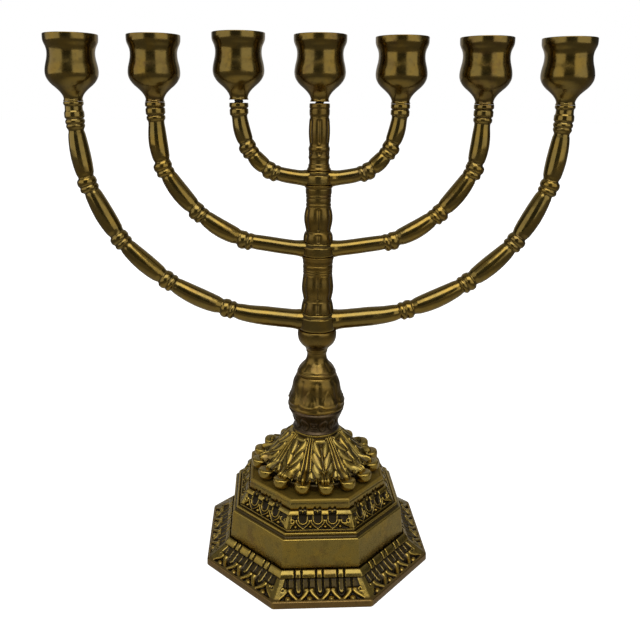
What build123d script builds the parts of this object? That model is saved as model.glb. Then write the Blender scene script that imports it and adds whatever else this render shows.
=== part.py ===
"""Seven-branched candle holder in cast brass, as separate castings on a tie rod.

Frame: millimetres, +Z up, the branches in the XZ plane, the origin in the
middle of the base's underside.

From the bottom up the root body is the octagonal base, the leaf dome, the
collar, the knop, the neck, two spacers and the top stem, all clamped by the tie
rod.  The neck and the spacers each carry a spigot, and a branch casting turns
on each spigot.  A threaded stud stands in every branch end and in the top stem,
and a candle cup screws down over each stud.
"""
import os
from math import cos, radians, sin

from build123d import *

# Branches: for each casting, its reach to the cup axis, the heights that its
# hub fills, its hub radius, the radius of its first stretch, the knobs between
# hub and end as (x, z), and the height where its end collar starts.
BRANCHES = {
    "inner": dict(reach=42.6, hub=(206.6, 214.4), hub_radius=7.6, root_radius=3.8,
                  knobs=[(25.0, 214.3), (37.3, 225.8)], collar_start=243.0),
    "middle": dict(reach=86.7, hub=(167.8, 175.6), hub_radius=9.2, root_radius=3.8,
                   knobs=[(39.5, 176.0), (64.6, 191.0), (83.2, 214.2)], collar_start=239.5),
    "outer": dict(reach=129.6, hub=(126.2, 136.2), hub_radius=10.4, root_radius=4.9,
                  knobs=[(50.3, 137.7), (82.8, 154.0), (106.8, 175.8), (124.8, 205.5)],
                  collar_start=235.0),
}
BRANCH_TOP = 249.8       # every branch end and the top stem stop at this height
NECK_RADIUS = 4.15       # branch where it is thin, next to a knob
SPINDLE_RADIUS = 5.1     # branch where it swells, between two knobs
SWELL_PLACE = 0.45       # where it is thickest, as a share of the stretch
KNOB_RADIUS = 5.1
END_RADIUS = 5.2
ARM_SUNK = 3.0           # an arm starts this far inside its hub
ARM_DROP = 0.4           # the arms leave a hub this far below its middle
ARM_TRIM = 3.0           # the arms are cut back to the hub's faces over this height
COLLAR_LEAN = 0.3        # an arm meets its end collar this far inside the cup's axis
COLLAR_SUNK = 1.5        # the end collar starts this far inside the arm

# Base: flats of the octagon, as width across flats and height.
BASE_TURN = 2.5          # the base stands slightly turned under the branches
PLINTH_TOP = 45.0
BASE_TIERS = [           # each tier from (width, height) to (width, height)
    [(121.7, 0.0), (121.3, 3.5), (101.3, 9.6), (101.3, 13.0)],
    [(96.2, 13.0), (92.8, 28.4)],
    [(89.8, 28.4), (85.8, 31.3), (78.1, 39.6)],
    [(76.9, 39.6), (74.1, PLINTH_TOP)],
]
BASE_WALL = 3.0
CUT_PAST = 1.0           # a cutter stands this far past the face that it cuts

# Dome and its ring of balls.
BALL_COUNT = 16
BALL_RADIUS = 3.65
BALL_RING_RADIUS = 32.8
BALL_GAP = 0.1           # under each ball
FIRST_BALL = -81.3       # degrees from +X to the ball nearest the front
DOME_FOOT_RADIUS = 31.5
DOME_FOOT_TOP = 48.5
DOME_TOP = 68.3
DOME_WALL = 3.0

# Column heights.
COLLAR_TOP = 81.4
KNOP_TOP = 100.3
HUB_PLAY = 0.2           # above and below each hub, so that it can turn

# Tie rod and fasteners.
ROD_RADIUS = 3.0
ROD_HOLE = 3.1
ROD_TOP = 236.0
SPIGOT_RADIUS = 4.4
SPIGOT_PLAY = 0.05       # radial
WASHER_RADIUS = 8.0
WASHER_HEIGHT = 1.5
NUT_WIDTH = 10.0
NUT_HEIGHT = 5.0
ROD_END = 2.5            # rod standing out under the nut

# Candle cups and their studs.
CUP_HEIGHT = 34.0
RIM_RADIUS = 13.9
CANDLE_RADIUS = 11.0
CANDLE_DEPTH = 21.0
STUD_RADIUS = 2.5
STUD_HOLE = 2.55
STUD_SUNK = 8.0          # stud length inside the branch end
STUD_PROUD = 7.0         # stud length above the branch end
THREAD_PITCH = 1.0
SEAT_GAP = 0.3           # under a cup that is screwed right down
END_CLEARANCE = 0.2      # past each end of a stud
LOOSE_TURNS = {3: 1.5, 4: 0.75}   # cups that stand a little unscrewed


def turned(*runs):
    """Solid of revolution about Z.  A run of two (radius, height) points is a
    straight line and a longer run is a smooth curve through its points."""
    edges = []
    for run in runs:
        points = [(radius, 0, height) for radius, height in run]
        edges.append(Line(*points) if len(points) == 2 else Spline(*points))
    start = runs[0][0]
    end = runs[-1][-1]
    for low, high in (((0, start[1]), start), (end, (0, end[1]))):
        if low != high:
            edges.append(Line((low[0], 0, low[1]), (high[0], 0, high[1])))
    edges.append(Line((0, 0, end[1]), (0, 0, start[1])))
    return revolve(make_face(edges), Axis.Z, 360)


def rod(radius, low, high, x=0.0):
    """Upright cylinder between two heights."""
    return Pos(x, 0, low) * Cylinder(radius, high - low, align=(Align.CENTER, Align.CENTER, Align.MIN))


def rod_hole(low, high):
    """Cutter for the tie rod's hole, through a piece between two heights."""
    return rod(ROD_HOLE, low - CUT_PAST, high + CUT_PAST)


def stud_hole(x):
    """Cutter for the threaded hole in a branch end."""
    return rod(STUD_HOLE, BRANCH_TOP - STUD_SUNK - END_CLEARANCE, BRANCH_TOP + CUT_PAST, x)


def along(solid, start, end):
    """Move a solid built up from the origin along +Z to lie from start to end."""
    start_point = Vector(start[0], 0, start[1])
    direction = Vector(end[0], 0, end[1]) - start_point
    return Plane(origin=start_point, x_dir=(0, 1, 0), z_dir=direction).location * solid


def spindle(start, end, start_radius, end_radius, swell):
    """Turned stretch of branch between two points of the XZ plane."""
    length = (Vector(*end) - Vector(*start)).length
    middle = (swell, SWELL_PLACE * length)
    return along(turned([(start_radius, 0), middle], [middle, (end_radius, length)]), start, end)


def branch(reach, hub, hub_radius, root_radius, knobs, collar_start):
    """One branch casting: a hub with an arm and an end collar on each side."""
    hub_low = hub[0] + HUB_PLAY / 2
    hub_high = hub[1] - HUB_PLAY / 2
    hub_middle = (hub_low + hub_high) / 2
    inside_hub = (hub_radius - ARM_SUNK, hub_middle - ARM_DROP)
    collar_foot = (reach - COLLAR_LEAN, collar_start)
    stops = [inside_hub] + knobs + [collar_foot]
    arm = rod(END_RADIUS, collar_start - COLLAR_SUNK, BRANCH_TOP, reach)
    for index in range(len(stops) - 1):
        first = index == 0
        start_radius = root_radius if first else NECK_RADIUS
        swell = root_radius if first else SPINDLE_RADIUS
        arm += spindle(stops[index], stops[index + 1], start_radius, NECK_RADIUS, swell)
    for x, z in knobs:
        arm += Pos(x, 0, z) * Sphere(KNOB_RADIUS)
    arm -= stud_hole(reach)
    casting = arm + mirror(arm, about=Plane.YZ) + rod(hub_radius, hub_low, hub_high)
    casting -= rod(hub_radius, hub_low - ARM_TRIM, hub_low)
    casting -= rod(hub_radius, hub_high, hub_high + ARM_TRIM)
    return casting - rod(SPIGOT_RADIUS + SPIGOT_PLAY, hub_low - CUT_PAST, hub_high + CUT_PAST)


def octagon(width, height):
    """Octagon across flats, with one flat to the front, turned with the base."""
    turn = BASE_TURN + 22.5
    return Plane.XY.offset(height) * RegularPolygon(width / 2, 8, major_radius=False, rotation=turn)


def tiers(inset, drop):
    """The base's stepped outer form, drawn in and lowered all over."""
    stack = None
    for tier in BASE_TIERS:
        for (low_width, low), (high_width, high) in zip(tier, tier[1:]):
            sections = [octagon(low_width - 2 * inset, low - drop), octagon(high_width - 2 * inset, high - drop)]
            step = loft(sections, ruled=True)
            stack = step if stack is None else stack + step
    return stack


def base_pedestal():
    hollow = tiers(BASE_WALL, BASE_WALL)
    return tiers(0, 0) - hollow - rod_hole(0, PLINTH_TOP)


def leaf_dome():
    flare = [(DOME_FOOT_RADIUS, DOME_FOOT_TOP), (24.3, 56.0), (18.8, 62.6), (13.7, DOME_TOP)]
    foot = [(DOME_FOOT_RADIUS, PLINTH_TOP), (DOME_FOOT_RADIUS, DOME_FOOT_TOP)]
    inside = [(radius - DOME_WALL, height - DOME_WALL) for radius, height in flare]
    hollow = turned([(inside[0][0], PLINTH_TOP - CUT_PAST), inside[0]], inside)
    dome = turned(foot, flare) - hollow
    for index in range(BALL_COUNT):
        angle = radians(FIRST_BALL + index * 360 / BALL_COUNT)
        height = PLINTH_TOP + BALL_GAP + BALL_RADIUS
        dome += Pos(BALL_RING_RADIUS * cos(angle), BALL_RING_RADIUS * sin(angle), height) * Sphere(BALL_RADIUS)
    return dome - rod_hole(PLINTH_TOP, DOME_TOP)


def collar():
    flange = [(14.0, DOME_TOP), (14.0, 69.3)]
    step = [(14.0, 69.3), (12.4, 70.2)]
    waist = [(12.4, 70.2), (12.1, 72.0), (12.6, 74.0), (13.9, 76.8), (14.9, 78.5), (15.6, COLLAR_TOP)]
    return turned(flange, step, waist) - rod_hole(DOME_TOP, COLLAR_TOP)


def knop():
    lip = [(15.4, COLLAR_TOP), (16.0, 82.2)]
    band = [(16.0, 82.2), (16.0, 83.3)]
    bell = [(16.0, 83.3), (15.2, 86.9), (13.8, 90.6), (13.2, 94.2), (12.2, 97.7), (10.9, KNOP_TOP)]
    return turned(lip, band, bell) - rod_hole(COLLAR_TOP, KNOP_TOP)


def neck():
    top = BRANCHES["outer"]["hub"][0]
    ring = [(10.9, KNOP_TOP), (10.2, 102.5)]
    cone = [(10.2, 102.5), (8.9, 104.9), (6.2, 108.2), (5.5, 110.8), (6.2, 114.6), (9.2, 118.6), (10.7, 122.0)]
    rim = [(10.7, 122.0), (10.7, top)]
    return with_spigot(turned(ring, cone, rim), "outer", KNOP_TOP)


def with_spigot(column, name, low):
    """Add the spigot that goes up through a branch's hub, and the rod hole."""
    hub_low, hub_high = BRANCHES[name]["hub"]
    return column + rod(SPIGOT_RADIUS, hub_low, hub_high) - rod_hole(low, hub_high)


def spacer_lower():
    low = BRANCHES["outer"]["hub"][1]
    top = BRANCHES["middle"]["hub"][0]
    skirt = [(9.0, low), (8.7, 138.8), (8.1, 142.2), (7.8, 143.4)]
    baluster = [(7.8, 143.4), (8.4, 146.4), (8.7, 149.8), (8.4, 154.0), (8.0, 157.6)]
    rings = [(8.1, 157.6), (8.1, 163.4)]
    flare = [(8.1, 163.4), (8.85, top)]
    return with_spigot(turned(skirt, baluster, [(8.0, 157.6), (8.1, 157.6)], rings, flare), "middle", low)


def spacer_upper():
    low = BRANCHES["middle"]["hub"][1]
    top = BRANCHES["inner"]["hub"][0]
    skirt = [(8.1, low), (7.9, 177.8), (7.4, 180.6), (6.8, 182.2)]
    baluster = [(6.8, 182.2), (7.4, 185.0), (7.75, 188.8), (7.4, 192.4), (6.8, 195.4)]
    rings = [(6.8, 195.4), (7.05, 203.6)]
    flare = [(7.05, 203.6), (7.6, top)]
    return with_spigot(turned(skirt, baluster, rings, flare), "inner", low)


def stem_top():
    low = BRANCHES["inner"]["hub"][1]
    foot = [(6.6, low), (5.7, 217.4), (5.45, 219.8)]
    ring = [(5.45, 219.8), (5.7, 223.5), (5.2, 228.6)]
    shaft = [(5.2, 228.6), (5.68, 235.0), (5.2, 242.4)]
    end = [(5.2, 242.4), (5.35, 246.0), (5.0, BRANCH_TOP)]
    bore = rod(ROD_HOLE, low - CUT_PAST, ROD_TOP + END_CLEARANCE)
    return turned(foot, ring, shaft, end) - bore - stud_hole(0)


def tie_rod():
    return rod(ROD_RADIUS, plate_underside() - WASHER_HEIGHT - NUT_HEIGHT - ROD_END, ROD_TOP)


def plate_underside():
    return PLINTH_TOP - BASE_WALL


def washer():
    top = plate_underside()
    return rod(WASHER_RADIUS, top - WASHER_HEIGHT, top) - rod_hole(top - WASHER_HEIGHT, top)


def nut():
    top = plate_underside() - WASHER_HEIGHT
    hexagon = Plane.XY.offset(top - NUT_HEIGHT) * RegularPolygon(NUT_WIDTH / 2, 6, major_radius=False)
    return extrude(hexagon, NUT_HEIGHT) - rod(ROD_RADIUS, top - NUT_HEIGHT - CUT_PAST, top + CUT_PAST)


def stud(x):
    return rod(STUD_RADIUS, BRANCH_TOP - STUD_SUNK, BRANCH_TOP + STUD_PROUD, x)


def cup(x, lift):
    """Candle cup, its underside at the given height above the branch end."""
    bowl = [(4.6, 0), (5.2, 2.6), (8.35, 6.5), (12.2, 10.5), (13.45, 14.8), (12.1, 24.5), (12.7, 28.0)]
    lip = [(12.7, 28.0), (RIM_RADIUS, 29.9)]
    band = [(RIM_RADIUS, 29.9), (RIM_RADIUS, CUP_HEIGHT)]
    body = turned(bowl, lip, band)
    body -= rod(CANDLE_RADIUS, CUP_HEIGHT - CANDLE_DEPTH, CUP_HEIGHT + CUT_PAST)
    body -= rod(STUD_HOLE, -CUT_PAST, STUD_PROUD)
    return Pos(x, 0, BRANCH_TOP + lift) * body


def cup_places():
    """Each cup's number, axis and height above its branch end, left to right."""
    reaches = [BRANCHES[name]["reach"] for name in ("outer", "middle", "inner")]
    axes = [-reach for reach in reaches] + [0.0] + reaches[::-1]
    for number, x in enumerate(axes, start=1):
        yield number, x, SEAT_GAP + LOOSE_TURNS.get(number, 0) * THREAD_PITCH


def main():
    nodes = {
        "base_pedestal": base_pedestal(),
        "leaf_dome": leaf_dome(),
        "collar": collar(),
        "knop": knop(),
        "neck": neck(),
        "spacer_lower": spacer_lower(),
        "spacer_upper": spacer_upper(),
        "stem_top": stem_top(),
        "tie_rod": tie_rod(),
        "washer": washer(),
        "nut": nut(),
    }
    for name, sizes in BRANCHES.items():
        nodes["branch_" + name] = branch(**sizes)
    for number, x, lift in cup_places():
        nodes["stud_%d" % number] = stud(x)
        nodes["cup_%d" % number] = cup(x, lift)
    os.makedirs("parts", exist_ok=True)
    for name, solid in nodes.items():
        export_step(solid, "parts/%s.step" % name)


main()
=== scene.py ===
"""Seven-branched candle holder in antiqued cast brass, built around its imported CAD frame.

Lengths in the tables and in the shape functions are millimetres, and a mesh is
scaled to metres when it is made.  Every mesh lies in the row frame: +Z up, the
branches in the XZ plane, the viewer at -Y.
"""

import math

import bmesh
import bpy
import numpy as np
from mathutils import Matrix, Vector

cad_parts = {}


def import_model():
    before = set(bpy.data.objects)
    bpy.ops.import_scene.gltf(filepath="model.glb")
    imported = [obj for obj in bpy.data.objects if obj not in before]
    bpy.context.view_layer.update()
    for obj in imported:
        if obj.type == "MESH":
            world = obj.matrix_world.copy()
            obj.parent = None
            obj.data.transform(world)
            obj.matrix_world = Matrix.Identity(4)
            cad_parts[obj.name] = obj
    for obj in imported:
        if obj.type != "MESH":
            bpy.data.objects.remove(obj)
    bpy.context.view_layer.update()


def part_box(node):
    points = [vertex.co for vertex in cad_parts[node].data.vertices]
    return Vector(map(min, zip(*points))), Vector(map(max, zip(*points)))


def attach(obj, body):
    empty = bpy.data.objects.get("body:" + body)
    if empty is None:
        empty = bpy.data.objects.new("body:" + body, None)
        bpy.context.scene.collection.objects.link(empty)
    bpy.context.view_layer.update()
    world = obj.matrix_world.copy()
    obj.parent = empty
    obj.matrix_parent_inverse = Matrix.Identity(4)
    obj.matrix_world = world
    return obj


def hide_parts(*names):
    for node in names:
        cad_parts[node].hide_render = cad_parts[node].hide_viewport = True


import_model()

MM = 0.001

# ---------------------------------------------------------------- driving sizes

BRANCH_TOP = 249.8          # every branch end and the top stem stop at this height
UPRIGHT_END = 3.0           # the last stretch of a branch stands upright
STUD_HOLE = 2.55
STUD_RADIUS = 2.5
STUD_SUNK = 8.0             # stud length inside the branch end
STUD_PROUD = 7.0            # stud length above the branch end
END_CLEARANCE = 0.2         # past the lower end of a stud
THREAD_PITCH = 1.0
THREAD_DEPTH = 0.45
ROD_HOLE = 3.1
ROD_RADIUS = 3.0
ROD_TOP = 236.2             # end of the rod's hole in the top stem
SPIGOT_RADIUS = 4.4
HUB_BORE = 4.45
HUB_PLAY = 0.1              # above and below each hub

# Each branch: how far out its cups stand, its hub's (bottom, top) and radius, its
# own radii, how far the knobs stand out of the curve's outer side, where its
# centreline and the knobs on it lie as (x, z), and its end collar as (height,
# radius) from the top down.
BRANCHES = {
    "inner": dict(
        reach=42.6, hub=(206.6, 214.4), hub_radius=7.4,
        root=4.0, neck=3.95, swell=4.5, knob=4.75, bulge=0.5,
        line=[(3.0, 210.1), (12.0, 210.7), (25.0, 214.0), (32.0, 218.9), (37.0, 225.6),
              (40.6, 234.0), (42.2, 242.0)],
        knobs=[(25.0, 214.0), (37.0, 225.6)],
        collar=[(249.8, 5.0), (247.6, 5.1), (247.0, 4.2), (246.4, 4.95), (243.9, 4.95),
                (243.3, 4.2), (242.3, 4.1)]),
    "middle": dict(
        reach=86.7, hub=(167.8, 175.6), hub_radius=8.9,
        root=4.2, neck=4.1, swell=5.0, knob=4.95, bulge=0.6,
        line=[(4.0, 171.3), (15.0, 172.3), (26.0, 173.9), (39.5, 176.4), (47.7, 179.7),
              (55.5, 184.1), (64.4, 191.2), (72.2, 199.2), (77.6, 206.4), (82.4, 214.9),
              (85.3, 226.5), (86.3, 240.0)],
        knobs=[(39.5, 176.2), (64.5, 191.2), (82.5, 214.9)],
        collar=[(249.8, 5.2), (247.7, 5.25), (247.1, 4.3), (246.5, 5.1), (243.7, 5.1),
                (243.0, 4.2), (242.4, 4.95), (240.9, 4.9), (240.0, 4.2), (238.6, 4.2)]),
    "outer": dict(
        reach=129.6, hub=(126.2, 136.2), hub_radius=10.3,
        root=5.3, neck=4.15, swell=5.25, knob=5.15, bulge=0.3,
        line=[(5.0, 130.9), (13.0, 131.7), (26.5, 133.1), (40.0, 134.9), (49.6, 137.6),
              (59.0, 140.9), (71.1, 146.5), (82.0, 153.1), (93.0, 161.6), (102.6, 170.7),
              (107.1, 176.0), (114.0, 186.7), (120.0, 198.2), (123.6, 206.0), (125.8, 215.2),
              (128.1, 228.5), (129.2, 240.0)],
        knobs=[(49.2, 137.4), (82.0, 153.2), (107.0, 175.9), (123.6, 206.0)],
        collar=[(249.8, 5.15), (248.3, 5.2), (247.6, 4.5), (245.0, 4.6), (244.3, 5.1),
                (241.6, 5.15), (240.8, 4.3), (240.0, 5.05), (238.6, 5.05), (238.0, 4.4),
                (237.4, 4.9), (236.4, 4.8), (235.2, 4.1), (234.4, 3.95)]),
}

DOME_TOP = 68.3
COLLAR_TOP = 81.4
KNOP_TOP = 100.3
CUP_AXES = sorted([0.0] + [side * sizes["reach"] for sizes in BRANCHES.values() for side in (-1, 1)])

BASE_TURN = 2.5             # degrees that the base stands turned under the branches
LIP_HALF_WIDTH = 60.75      # half the lip's width across flats
FIRST_BALL = -81.3          # degrees from +X to the ball nearest the front
BALL_COUNT = 16
LEAF_COUNT = 8


# ------------------------------------------------------------------ curve tools

def spaced(points, step):
    """A polyline's points, moved along it to an even spacing."""
    points = np.asarray(points, float)
    lengths = np.linalg.norm(np.diff(points, axis=0), axis=1)
    distance = np.concatenate([[0.0], np.cumsum(lengths)])
    count = max(int(round(distance[-1] / step)), 1)
    marks = np.linspace(0, distance[-1], count + 1)
    return np.stack([np.interp(marks, distance, column) for column in points.T], 1)


def spline(points, step):
    """A smooth curve through all the points, evenly sampled."""
    points = np.asarray(points, float)
    chord = np.concatenate([[0.0], np.cumsum(np.linalg.norm(np.diff(points, axis=0), axis=1))])
    slope = np.diff(points, axis=0) / np.diff(chord)[:, None]
    span = np.diff(chord)
    inner = (slope[:-1] * span[1:, None] + slope[1:] * span[:-1, None]) / (span[:-1] + span[1:])[:, None]
    tangents = np.vstack([2 * slope[:1] - inner[:1], inner, 2 * slope[-1:] - inner[-1:]])
    samples = []
    for i in range(len(span)):
        u = np.linspace(0, 1, max(int(span[i] / step * 4), 8), endpoint=False)[:, None]
        leaving = (2 * u**3 - 3 * u**2 + 1) * points[i] + (u**3 - 2 * u**2 + u) * span[i] * tangents[i]
        arriving = (3 * u**2 - 2 * u**3) * points[i + 1] + (u**3 - u**2) * span[i] * tangents[i + 1]
        samples.append(leaving + arriving)
    samples.append(points[-1:])
    return spaced(np.vstack(samples), step)


def blurred(values, spread, closed):
    """Rows of values smoothed along the first axis, over spread rows."""
    reach = int(math.ceil(3 * spread))
    kernel = np.exp(-0.5 * (np.arange(-reach, reach + 1) / spread) ** 2)
    kernel /= kernel.sum()
    if closed:
        padded = np.concatenate([values[-reach:], values, values[:reach]])
    else:
        head = 2 * values[0] - values[reach:0:-1]
        tail = 2 * values[-1] - values[-2:-reach - 2:-1]
        padded = np.concatenate([head, values, tail])
    return np.stack([np.convolve(column, kernel, "valid") for column in padded.T], 1)


def thinned(points, tolerance, gap):
    """The points that a polyline needs to keep its shape within tolerance, no further apart than gap."""
    kept = [0]
    start = 0
    for end in range(2, len(points)):
        chord = points[end] - points[start]
        length = np.linalg.norm(chord)
        between = points[start + 1:end] - points[start]
        off = np.abs(between[:, 0] * chord[1] - between[:, 1] * chord[0]) / max(length, 1e-9)
        if off.max() > tolerance or length > gap:
            start = end - 1
            kept.append(start)
    kept.append(len(points) - 1)
    return points[kept]


def outline(runs, step=0.25, soften=0.3, closed=True, tolerance=0.004, gap=1.5):
    """One profile from runs of points: a run of two is a straight line, a longer one a smooth curve.
    Corners are rounded over about soften."""
    parts = [np.asarray(run, float) if len(run) == 2 else spline(run, step) for run in runs]
    line = [parts[0][0]]
    for part in parts:
        line += [point for point in part if np.linalg.norm(point - line[-1]) > 1e-6]
    if closed and np.linalg.norm(line[0] - line[-1]) > 1e-6:
        line.append(line[0])
    points = spaced(line, step)
    if closed:
        points = blurred(points[:-1], soften / step, True)
        points = thinned(np.vstack([points, points[:1]]), tolerance, gap)[:-1]
    else:
        points = thinned(blurred(points, soften / step, False), tolerance, gap)
    return points


def straight(points):
    """A run of points as straight lines, one after another."""
    return [[first, second] for first, second in zip(points, points[1:])]


def path(*points):
    """The runs of an outline through all its points.

    They are joined by straight lines, or by one smooth curve from the word "curve" to the word "lines"."""
    runs, run, smooth = [], [], False
    for point in points + ("end",):
        if isinstance(point, str):
            runs += [run] if smooth else straight(run)
            run, smooth = run[-1:], point == "curve"
        else:
            run.append(point)
    return runs


def refined(profile, ornamented, fine, coarse):
    """A closed profile with rows every fine mm where it is ornamented, and every coarse mm elsewhere."""
    rows = []
    for first, second in zip(profile, np.roll(profile, -1, 0)):
        spacing = fine if ornamented(first, second) else coarse
        pieces = max(int(math.ceil(np.linalg.norm(second - first) / spacing)), 1)
        rows += [first + (second - first) * k / pieces for k in range(pieces)]
    return np.array(rows)


def bump(value, low, high, edge):
    """1 between low and high, falling to 0 over edge on each side."""
    rise = np.clip((value - low) / edge + 0.5, 0, 1)
    fall = np.clip((high - value) / edge + 0.5, 0, 1)
    share = np.minimum(rise, fall)
    return share * share * (3 - 2 * share)


def ridge(distance, width):
    """A soft ridge of height 1 about distance 0."""
    return np.exp(-(distance / width) ** 2)


def over(height, share, level):
    """A height pulled to a level by a share."""
    return height + (level - height) * share


def wrapped(angle, period):
    """Signed distance of an angle from the nearest multiple of period."""
    return (angle + period / 2) % period - period / 2


# ------------------------------------------------------------------- mesh tools

def grid(points, closed_rows=True):
    """Quads over a grid of points whose columns go all the way round, as (vertices, faces)."""
    rows, columns = points.shape[:2]
    index = np.arange(rows * columns).reshape(rows, columns)
    if closed_rows:
        index = np.vstack([index, index[:1]])
    index = np.hstack([index, index[:, :1]])
    faces = np.stack([index[:-1, :-1], index[:-1, 1:], index[1:, 1:], index[1:, :-1]], -1)
    return points.reshape(-1, 3), faces.reshape(-1, 4)


def normals_of(profile, closed):
    """Outward normals of a profile that runs up its outer side."""
    if closed:
        tangent = np.roll(profile, -1, 0) - np.roll(profile, 1, 0)
    else:
        tangent = np.gradient(profile, axis=0)
    tangent /= np.maximum(np.linalg.norm(tangent, axis=1, keepdims=True), 1e-9)
    return np.stack([tangent[:, 1], -tangent[:, 0]], 1)


def turned(profile, segments, relief=None, closed=True, centre=(0.0, 0.0, 0.0)):
    """Surface of revolution of a (radius, height) profile.

    relief(angle, radius, height) moves its points out along the profile's normals."""
    angle = np.arange(segments) * 2 * math.pi / segments
    radius = np.repeat(profile[:, :1], segments, 1)
    height = np.repeat(profile[:, 1:], segments, 1)
    angles = np.repeat(angle[None, :], len(profile), 0)
    if relief is not None:
        normal = normals_of(profile, closed)
        out = relief(angles, radius, height)
        radius, height = radius + out * normal[:, :1], height + out * normal[:, 1:]
    points = np.stack([radius * np.cos(angles), radius * np.sin(angles), height], -1) + np.asarray(centre)
    return grid(points, closed_rows=closed)


def tube(line, profile, segments, shift=None):
    """Round bar along a curve of the XZ plane.

    The profile gives (radius, distance along the curve), and shift(distance) the bar's offset from it."""
    steps = np.linalg.norm(np.diff(line, axis=0), axis=1)
    distance = np.concatenate([[0.0], np.cumsum(steps)])
    tangent = np.gradient(line, axis=0)
    tangent /= np.linalg.norm(tangent, axis=1, keepdims=True)
    at = np.clip(profile[:, 1], 0, distance[-1])
    centre = np.stack([np.interp(at, distance, line[:, k]) for k in (0, 1)], 1)
    along = np.stack([np.interp(at, distance, tangent[:, k]) for k in (0, 1)], 1)
    side = np.stack([along[:, 1], -along[:, 0]], 1)
    if shift is not None:
        centre = centre + side * shift(at)[:, None]
    angle = np.arange(segments) * 2 * math.pi / segments
    reach = profile[:, :1] * np.cos(angle)
    points = np.empty((len(profile), segments, 3))
    points[..., 0] = centre[:, :1] + side[:, :1] * reach
    points[..., 1] = profile[:, :1] * np.sin(angle)
    points[..., 2] = centre[:, 1:] + side[:, 1:] * reach
    return grid(points, closed_rows=False)


def mirrored(shell):
    """The same shell on the other side of the YZ plane."""
    vertices, faces = shell
    return vertices * np.array([-1.0, 1.0, 1.0]), faces[:, ::-1]


EDGE_REACH = 0.45 * MM      # longer edges pull less when a mesh is smoothed
# the ornament's depth also carries the made-up depth that paints shade under the dome's skirt
SUNK_SHARE = 0.4            # how much the ornament's depth adds to the relief
SUNK_SKIN = 0.25            # ornament less deep than this stays as clean as the skin


def hollowness(mesh, passes):
    """How far each vertex stands out of its surroundings, in mm, negative in a recess."""
    count = len(mesh.vertices)
    points = np.empty(count * 3)
    mesh.vertices.foreach_get("co", points)
    points = points.reshape(-1, 3)
    edges = np.empty(len(mesh.edges) * 2, int)
    mesh.edges.foreach_get("vertices", edges)
    first, second = edges[0::2], edges[1::2]
    length = np.linalg.norm(points[second] - points[first], axis=1)
    weight = 0.125 * np.minimum(1.0, (EDGE_REACH / np.maximum(length, 1e-9)) ** 2)
    smooth = points.copy()
    for _ in range(passes):
        pull = (smooth[second] - smooth[first]) * weight[:, None]
        smooth += np.stack([np.bincount(first, pull[:, k], count) - np.bincount(second, pull[:, k], count)
                            for k in range(3)], 1)
    normals = np.empty(count * 3)
    mesh.vertex_normals.foreach_get("vector", normals)
    return np.einsum("ij,ij->i", points - smooth, normals.reshape(-1, 3)) / MM


def heights(part):
    """The lowest and the highest point of a part of the frame, in mm."""
    low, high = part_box(part)
    return low.z / MM, high.z / MM


def placed(name, data):
    """A new object in the scene."""
    made = bpy.data.objects.new(name, data)
    bpy.context.scene.collection.objects.link(made)
    return made


def piece(name, shells, material, body, stands_for, passes, sunk_and_shade=None):
    """One named mesh object from closed shells, riding on a body of the frame.

    The last argument is the ornament's height at each vertex, in mm, negative below the skin, where patina
    gathers; under the leaf dome's skirt it is a made-up depth that paints shade there."""
    mesh = bpy.data.meshes.new(name)
    vertices, faces, start = [], [], 0
    for shell_vertices, shell_faces in shells:
        vertices.append(shell_vertices)
        faces.append(shell_faces + start)
        start += len(shell_vertices)
    mesh.from_pydata((np.vstack(vertices) * MM).tolist(), [], np.vstack(faces).tolist())
    depth = mesh.attributes.new("sunk_and_shade", "FLOAT", "POINT")
    if sunk_and_shade is not None:
        depth.data.foreach_set("value", sunk_and_shade.astype(np.float32))
    work = bmesh.new()
    work.from_mesh(mesh)
    bmesh.ops.remove_doubles(work, verts=work.verts, dist=1e-7)
    bmesh.ops.recalc_face_normals(work, faces=work.faces)
    work.to_mesh(mesh)
    work.free()
    mesh.shade_smooth()
    sunk_and_shade = np.empty(len(mesh.vertices), np.float32)
    mesh.attributes["sunk_and_shade"].data.foreach_get("value", sunk_and_shade)
    mesh.attributes.remove(mesh.attributes["sunk_and_shade"])
    # the relief holds the real hollowness and the ornament's depth, where patina gathers, and under the
    # dome's skirt painted shade
    relief = hollowness(mesh, passes) + SUNK_SHARE * np.minimum(sunk_and_shade + SUNK_SKIN, 0)
    attribute = mesh.attributes.new("relief", "FLOAT", "POINT")
    attribute.data.foreach_set("value", (relief - np.median(relief)).astype(np.float32))
    mesh.materials.append(material)
    made = placed(name, mesh)
    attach(made, body)
    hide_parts(stands_for)


# -------------------------------------------------------------------- materials

def empty_tree(owner):
    """The node tree of a material or world, with nothing in it."""
    owner.use_nodes = True
    owner.node_tree.nodes.clear()
    return owner.node_tree


def node(tree, kind, inputs=None, **settings):
    """A shader node with its settings and its inputs, which are values or other nodes' outputs."""
    made = tree.nodes.new("ShaderNode" + kind)
    for key, value in settings.items():
        setattr(made, key, value)
    for key, value in (inputs or {}).items():
        socket = made.inputs[key]
        if isinstance(value, bpy.types.NodeSocket):
            tree.links.new(value, socket)
        else:
            socket.default_value = value
    return made


def noise(tree, vector, scale, detail=3.0, roughness=0.55, distortion=0.0):
    """Cloudy noise between about 0.3 and 0.7, scale cycles to the metre."""
    made = node(tree, "TexNoise", {"Vector": vector, "Scale": scale, "Detail": detail,
                                   "Roughness": roughness, "Distortion": distortion})
    return made.outputs["Fac"]


def remap(tree, value, low, high, new_low=0.0, new_high=1.0):
    """A value taken smoothly from one range to another and held at its ends."""
    made = node(tree, "MapRange", {"Value": value, "From Min": low, "From Max": high,
                                   "To Min": new_low, "To Max": new_high},
                interpolation_type="SMOOTHSTEP")
    return made.outputs["Result"]


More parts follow.
